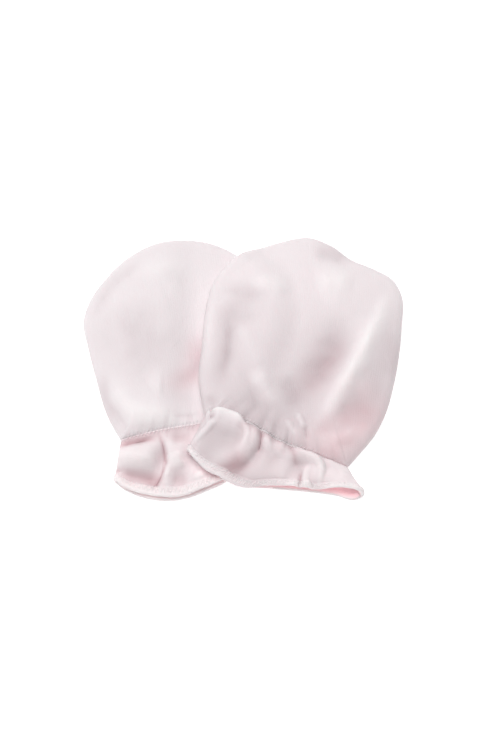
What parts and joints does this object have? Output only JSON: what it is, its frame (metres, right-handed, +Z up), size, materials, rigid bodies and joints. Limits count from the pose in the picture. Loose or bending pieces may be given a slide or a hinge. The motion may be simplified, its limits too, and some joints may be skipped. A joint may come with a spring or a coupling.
{
  "type": "pair of baby scratch mittens",
  "caption": "Pale pink cotton scratch mittens for a newborn, gathered at the wrist above a ruffle cuff, laid flat with one overlapping the other.",
  "frame": {"origin": "on the table under the middle of the pair", "axes": "+Z up from the table, +Y towards the fingertips, +X from the mitten underneath to the one on top"},
  "size_m": [0.1286, 0.1114, 0.0178],
  "materials": {
    "pink_cotton": "brushed cotton jersey, matte with a soft nap"
  },
  "bodies": {
    "root": {"left_mitten_palm": "pink_cotton", "left_mitten_back": "pink_cotton", "left_mitten_ruffle_cuff": "pink_cotton", "right_mitten_palm": "pink_cotton", "right_mitten_back": "pink_cotton", "right_mitten_ruffle_cuff": "pink_cotton"}
  },
  "joints": []
}
